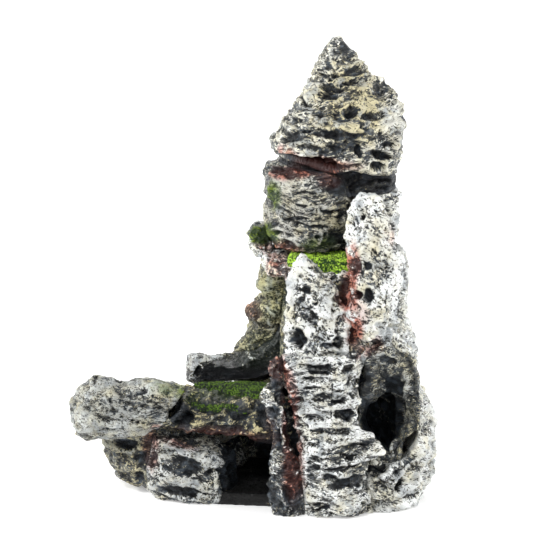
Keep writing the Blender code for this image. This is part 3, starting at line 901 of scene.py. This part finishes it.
def resin_of(points, style, seed, relief, proud, rust, green):
    """The colour of the resin: a blue slate tint in places, which also stands in for a painted sheen, and
    darker where it lies deep, as painted shade.
    """
    resin = np.tile(style.shade, (len(points), 1))
    resin *= (0.3 + 1.4 * fractal(points / 2.7, seed + 150, 3))[:, None]
    # blue slate tint in patches, less in hollows, which also stands in for a painted sheen on the dark
    # resin
    sheen = ramp(fractal(relief.flow / 2.4, seed + 155, 3), 0.48, 0.64) * (1 - 0.4 * relief.hollow)
    resin = blend_to(resin, SLATE_TINT_AND_SHEEN, sheen * style.slate)
    # painted shade: the resin is darkened where it lies deep below its surroundings
    resin *= (0.4 + 0.6 * ramp(proud, -1.0, -0.1))[:, None]
    resin = blend_to(resin, RUST_DARK, rust * 0.9)
    return blend_to(resin, GREEN_DARK, green * 0.8)


def paint(mesh, points, style, seed, relief, gain, web):
    """Stores how much paint each point has, and the colours of the top coat, the wash and the resin."""
    # how far each point stands out from the surface widely round it, and closely round it
    height = relief.height
    proud = np.clip((height - web.smooth(height, BROAD)) / 0.7, -1, 1)
    crisp = np.clip((height - web.smooth(height, NARROW)) / 0.12, -1, 1)
    rust = np.clip(within(points, RUST), 0, 1)
    green = np.clip(within(points, GREEN), 0, 1)
    cream = style.cream + 1.6 * (fractal(points / 5, seed + 120, 3) - 0.5) + 0.9 * within(points, CREAM)
    cover = cover_of(points, style, seed, relief, proud, crisp, gain, rust + green)
    set_values(mesh, "cover", np.clip(cover, -1, 2))
    set_colour(mesh, "coat", coat_of(points, style, seed, cream, rust, green))
    set_colour(mesh, "wash", wash_of(points, cream, rust, green))
    set_colour(mesh, "resin", resin_of(points, style, seed, relief, proud, rust, green))


def sculpt(node, style, seed):
    """The mesh of the finished stone for a CAD node, without its material."""
    mesh = remeshed(node, style.voxel)
    web = Web(mesh)
    points = web.smooth(points_of(mesh), SOFTEN_SHAPE)
    points = shaped(points, PUSHES.get(node, ()), CUTS.get(node, ()))
    move_points(mesh, points)
    outward = unit(web.smooth(normals_of(mesh), SOFTEN_NORMALS))
    joint = nearness(points, joint_tree(node))
    bare = indoors(points)
    relief = carve(points, style, seed)
    shaky = warped(points, seed + 170, 3.2, 1.8)
    depth, gain = front_marks(shaky, outward, MARKS.get(node, ()))
    calm = np.clip(within(points, CALM), 0, 0.9)
    height = (relief.height * (1 - calm) - depth) * (1 - INDOOR_CALM * bare)
    height = np.where(joint > 0, blend_to(height, BOND_FILL, joint), height)
    carved = points + outward * height[:, None]
    carved[:, 2] = np.maximum(carved[:, 2], cad_low[2] / MM)
    move_points(mesh, carved)
    paint(mesh, points, style, seed, relief._replace(height=height), gain - INDOOR_BARE * bare, web)
    set_values(mesh, "flow", relief.flow * MM)
    mesh.shade_smooth()
    return mesh


# ---- materials


class Nodes:
    """A short way to write the node tree of a material or a world."""

    def __init__(self, owner):
        owner.use_nodes = True
        self.owner, self.tree = owner, owner.node_tree
        self.shader = self.tree.nodes.get("Principled BSDF")

    def add(self, kind, inputs=(), **settings):
        """A node of this kind, with its inputs linked or set."""
        node = self.tree.nodes.new(kind)
        for key, value in settings.items():
            setattr(node, key, value)
        for key, value in dict(inputs).items():
            self.put(node.inputs[key], value)
        return node

    def put(self, socket, value):
        """Links a socket to another's output, or sets its value."""
        if isinstance(value, bpy.types.NodeSocket):
            self.tree.links.new(value, socket)
        else:
            socket.default_value = value

    def attribute(self, name, output):
        return self.add("ShaderNodeAttribute", attribute_name=name).outputs[output]

    def place(self):
        return self.add("ShaderNodeTexCoord").outputs["Object"]

    def noise(self, place, size, detail=3.0):
        """Noise whose features are about this many millimetres across."""
        inputs = {"Vector": place, "Scale": 1 / (size * MM), "Detail": detail, "Roughness": 0.6}
        return self.add("ShaderNodeTexNoise", inputs).outputs["Fac"]

    def math(self, operation, first, second):
        return self.add("ShaderNodeMath", {0: first, 1: second}, operation=operation).outputs[0]

    def ridge(self, value, reach):
        """1 where a noise passes its middle, falling to 0 where the noise is this far from it."""
        away = self.math("ABSOLUTE", self.math("SUBTRACT", value, 0.5), 0.0)
        return self.spread(away, 0.4 * reach, reach, 1.0, 0.0)

    def spread(self, value, low, high, to_low=0.0, to_high=1.0, smooth=False):
        """The value, taken from the range low to high to the range to_low to to_high."""
        inputs = {"Value": value, "From Min": low, "From Max": high, "To Min": to_low, "To Max": to_high}
        kind = "SMOOTHSTEP" if smooth else "LINEAR"
        return self.add("ShaderNodeMapRange", inputs, interpolation_type=kind).outputs["Result"]

    def mix(self, share, first, second):
        """A colour between two others."""
        return self.add("ShaderNodeMix", {0: share, 6: first, 7: second}, data_type="RGBA").outputs[2]

    def bump(self, height, strength, distance):
        """Fine relief, with heights of up to this many millimetres."""
        inputs = {"Height": height, "Strength": strength, "Distance": distance * MM}
        self.put(self.shader.inputs["Normal"], self.add("ShaderNodeBump", inputs).outputs[0])


# How far a stone's fine detail moves its cover, for a finish whose speckle is 1.
VEIN, CRACK, GRIT, DUST = 1.9, -2.0, 1.1, 0.6
SCUFF = 0.36  # most of the coat in a scuff on bare resin
PAINT_MATT = 0.16  # how much rougher the paint is than the resin


def painted_resin(name, roughness, speckle):
    """Dark cast resin under a wash and a dry-brushed coat, by the stone's own cover and colours."""
    n = Nodes(bpy.data.materials.new(name))
    place = n.place()
    flow = n.attribute("flow", "Vector")
    grit, dust = n.noise(flow, 1.7, 2.0), n.noise(place, 1.1, 1.0)
    vein, crack = n.ridge(n.noise(flow, 2.1, 2.0), 0.075), n.ridge(n.noise(flow, 2.2, 2.5), 0.065)

    cover = n.attribute("cover", "Fac")
    painted = n.spread(cover, -0.3, 0.15)  # 0 where the resin is bare on purpose
    cover = n.math("ADD", cover, n.math("MULTIPLY", n.math("MULTIPLY", vein, painted), VEIN * speckle))
    cover = n.math("ADD", cover, n.math("MULTIPLY", crack, CRACK * speckle))
    cover = n.math("ADD", cover, n.spread(grit, 0.3, 0.7, -GRIT * speckle, GRIT * speckle))
    cover = n.math("ADD", cover, n.spread(dust, 0.3, 0.7, -DUST * speckle, DUST * speckle))
    under = n.spread(cover, 0.31, 0.39, 0.0, 0.85, smooth=True)
    over = n.spread(cover, 0.49, 0.54, smooth=True)

    resin, coat = n.attribute("resin", "Color"), n.attribute("coat", "Color")
    scuff = n.spread(n.noise(flow, 1.5, 5.0), 0.48, 0.6, 0.0, SCUFF, smooth=True)
    scuffed = n.mix(n.math("MULTIPLY", scuff, painted), resin, coat)
    ground = n.mix(under, scuffed, n.attribute("wash", "Color"))
    n.put(n.shader.inputs["Base Color"], n.mix(over, ground, coat))
    n.put(n.shader.inputs["Roughness"], n.spread(over, 0.0, 1.0, roughness, roughness + PAINT_MATT))
    n.put(n.shader.inputs["Specular IOR Level"], 0.35)

    relief = n.math("ADD", n.math("MULTIPLY", grit, 0.8), n.math("MULTIPLY", dust, 0.3))
    relief = n.math("ADD", relief, n.math("MULTIPLY", n.math("SUBTRACT", vein, crack), 0.4))
    n.bump(relief, 1.0, 0.8)
    return n.owner


def flock(name, deep, bright):
    """Moss: each grain has its own tone between deep and bright, in darker and paler patches."""
    n = Nodes(bpy.data.materials.new(name))
    place = n.place()
    tone = n.math("ADD", n.attribute("tone", "Fac"), n.spread(n.noise(place, 3.5), 0.35, 0.65, -0.45, 0.4))
    share = n.spread(tone, 0.0, 1.0, smooth=True)
    n.put(n.shader.inputs["Base Color"], n.mix(share, (*deep, 1), (*bright, 1)))
    n.put(n.shader.inputs["Roughness"], n.spread(n.noise(place, 0.5), 0.3, 0.7, 0.6, 0.95))
    n.bump(n.noise(place, 0.4), 0.6, 0.2)
    return n.owner


def floor_material():
    """A nearly white floor that glows a little, and more so far from the object."""
    n = Nodes(bpy.data.materials.new("floor"))
    n.put(n.shader.inputs["Base Color"], n.spread(n.noise(n.place(), 140.0), 0.3, 0.7, 0.86, 0.88))
    n.put(n.shader.inputs["Roughness"], 0.35)
    n.put(n.shader.inputs["Specular IOR Level"], 0.16)
    n.put(n.shader.inputs["Emission Color"], (1, 1, 1, 1))
    away = n.add("ShaderNodeVectorMath", {0: n.place()}, operation="LENGTH").outputs["Value"]
    n.put(n.shader.inputs["Emission Strength"], n.spread(away, 0.1, 1.2, 0.32, 0.75))
    return n.owner


# ---- moss

# A pad of moss: how many grains it has, its seed, the grains' radius, the colours of the deepest and the
# brightest grain, and a line from one (x, y) to another, in front of which the pad is sunk.
Pad = namedtuple("Pad", "count seed size deep bright front")

PADS = {
    "moss_terrace": Pad(4200, 5, 0.35, (0.01, 0.045, 0.002), (0.5, 0.78, 0.07), ((15, -16), (42, -22))),
    "moss_ledge": Pad(3600, 6, 0.38, (0.004, 0.013, 0.001), (0.085, 0.165, 0.007), ((-27, -5), (12, -27))),
}
BLANK_TONE = -0.1  # of the pad under its grains, darker than any grain
LOWEST_LOOK = -0.2  # Z of the steepest outward direction that has grains


def grain_shape():
    """Corners and faces of one grain of flock: an icosahedron."""
    shape = bmesh.new()
    bmesh.ops.create_icosphere(shape, subdivisions=1, radius=1.0)
    corners = np.array([v.co for v in shape.verts])
    faces = np.array([[v.index for v in f.verts] for f in shape.faces])
    shape.free()
    return corners, faces


def surface_points(mesh, count, dice):
    """Random points on the faces of a mesh that look up, or nearly so, with their normals."""
    mesh.calc_loop_triangles()
    points = points_of(mesh)
    tris = np.array([t.vertices for t in mesh.loop_triangles])
    a, b, c = (points[tris[:, k]] for k in range(3))
    cross = np.cross(b - a, c - a)
    area = np.linalg.norm(cross, axis=1)
    normal = cross / np.maximum(area, 1e-12)[:, None]
    weight = area * (normal[:, 2] > LOWEST_LOOK)
    chosen = dice.choice(len(tris), count, p=weight / weight.sum())
    u, v = dice.random(count), dice.random(count)
    over = u + v > 1
    u, v = np.where(over, 1 - u, u), np.where(over, 1 - v, v)
    spots = a[chosen] + (b - a)[chosen] * u[:, None] + (c - a)[chosen] * v[:, None]
    return spots, normal[chosen]


def grains(centres, sizes, tones, dice):
    """One mesh of many grains, each squashed and turned at random."""
    corners, faces = grain_shape()
    count = len(centres)
    turn = np.linalg.qr(dice.normal(size=(count, 3, 3)))[0]
    stretch = dice.uniform(0.6, 1.3, (count, 1, 3))
    shaped = np.einsum("nvk,nkj->nvj", corners[None] * stretch, turn) * sizes[:, None, None]
    points = (shaped + centres[:, None]).reshape(-1, 3)
    all_faces = (faces[None] + (np.arange(count) * len(corners))[:, None, None]).reshape(-1, 3)
    mesh = bpy.data.meshes.new("grains")
    mesh.from_pydata((points * MM).tolist(), [], all_faces.tolist())
    set_values(mesh, "tone", np.repeat(tones, len(corners)))
    return mesh


def moss_blank(node, pad):
    """The uneven pad that the grains lie on, lowered a little and sunk in front of its line."""
    mesh = remeshed(node, PAD_VOXEL)
    points = points_of(mesh)
    height = MOSS_SWELL * (fractal(points / 4.5, pad.seed, 3) - 0.45)
    points = points + unit(Web(mesh).smooth(normals_of(mesh), SOFTEN_PAD)) * height[:, None]
    points[:, 2] -= MOSS_DROP
    (x, y), (end_x, end_y) = pad.front
    line = y + (points[:, 0] - x) * (end_y - y) / (end_x - x)
    ragged = 3 * (fractal(points / 4, pad.seed) - 0.5)
    points[:, 2] -= MOSS_SINK * (1 - ramp(points[:, 1] - line + ragged, -1.5, 1.5))
    move_points(mesh, points)
    set_values(mesh, "tone", np.full(len(points), BLANK_TONE))
    return mesh


def moss(node, pad):
    """A pad covered with flock grains, which stands for a CAD pad."""
    dice = np.random.default_rng(pad.seed)
    mesh = moss_blank(node, pad)
    spots, normal = surface_points(mesh, pad.count, dice)
    tones = np.clip(dice.normal(0.45, 0.5, pad.count), 0, 1.1)
    sizes = dice.uniform(0.65, 1.3, pad.count) * pad.size
    loose = grains(spots + normal * sizes[:, None] * 0.45, sizes, tones, dice)
    both = bmesh.new()
    both.from_mesh(mesh)
    both.from_mesh(loose)
    both.to_mesh(mesh)
    both.free()
    return placed(node + "_flock", mesh, flock(node, pad.deep, pad.bright))


# ---- stage

# Places and sizes on the stage are in metres, and powers in watts.
FLOOR_REACH = 9.0
SKY_LOW, SKY_HIGH = 1.0, 0.34  # strength of the white world near the horizon and overhead
AIM = (0, 0, 0.1)  # the lights' target
LIGHTS = {  # place, diameter and power
    "key": ((-0.45, -0.75, 0.9), 0.35, 10),
    "left": ((-1.0, 0.15, 0.45), 0.5, 9),
    "right": ((1.0, -0.05, 0.5), 0.5, 9),
    "rear": ((0.1, 1.0, 0.8), 0.6, 5),
}
CAMERA_PLACE = (0, -0.85, 0.253)
CAMERA_DIP = 10.5  # degrees below level
LENS, SENSOR = 134.9, 36.0  # in mm
SHIFT = 0.033  # of the picture to the side, as a share of its width


def add_floor():
    """A wide square under the object."""
    mesh = bpy.data.meshes.new("floor")
    sides = ((-1, -1), (1, -1), (1, 1), (-1, 1))
    corners = [(x * FLOOR_REACH, y * FLOOR_REACH, cad_low[2]) for x, y in sides]
    mesh.from_pydata(corners, [], [(0, 1, 2, 3)])
    floor = placed("floor", mesh, floor_material())


def add_light(name, place, diameter, power):
    """A round area light that faces the object."""
    data = bpy.data.lights.new(name, "AREA")
    data.shape = "DISK"
    data.size = diameter
    data.energy = power
    light = bpy.data.objects.new(name, data)
    light.location = place
    light.rotation_euler = (Vector(AIM) - light.location).to_track_quat("-Z", "Y").to_euler()
    show(light)


def light_stage():
    """A white world that is dimmer overhead, and the lights."""
    n = Nodes(bpy.data.worlds.new("studio"))
    background = n.tree.nodes["Background"].inputs
    n.put(background["Color"], (1, 1, 1, 1))
    split = n.add("ShaderNodeSeparateXYZ", {0: n.add("ShaderNodeTexCoord").outputs["Generated"]})
    n.put(background["Strength"], n.spread(split.outputs["Z"], 0.25, 0.5, SKY_LOW, SKY_HIGH))
    bpy.context.scene.world = n.owner
    bpy.context.scene.view_settings.view_transform = "Standard"
    for name, (place, diameter, power) in LIGHTS.items():
        add_light(name, place, diameter, power)


def add_camera():
    """A long lens a little above the object, looking down at it."""
    data = bpy.data.cameras.new("camera")
    data.sensor_width = SENSOR
    data.lens = LENS
    data.shift_x = SHIFT
    camera = bpy.data.objects.new("camera", data)
    camera.location = CAMERA_PLACE
    camera.rotation_euler = (math.radians(90 - CAMERA_DIP), 0, 0)
    show(camera)
    bpy.context.scene.camera = camera


# ---- the ornament

# The finish of each material slot: roughness of the bare resin, and strength of the fine detail.
FINISHES = {
    "white_wash": (0.42, 0.36),
    "grey_wash": (0.42, 0.36),
    "cream_wash": (0.42, 0.36),
    "rust_stain": (0.45, 0.34),
    "bare_resin": (0.32, 0.38),
}


def add_stones():
    """A painted stone for each CAD stone."""
    slots = {part["node"]: part["material_slot"] for part in frame["record"]["subparts"]}
    materials = {name: painted_resin(name, *finish) for name, finish in FINISHES.items()}
    for number, (node, style) in enumerate(STYLES.items()):
        mesh = sculpt(node, style, FIRST_SEED + SEED_STEP * number)
        stone = placed(node + "_stone", mesh, materials[slots[node]])
        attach(stone, "root")
        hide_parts(node)


def add_moss():
    """A flocked pad for each CAD pad."""
    for node, settings in PADS.items():
        pad = moss(node, settings)
        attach(pad, "root")
        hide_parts(node)


add_camera()
light_stage()
add_floor()
add_stones()
add_moss()
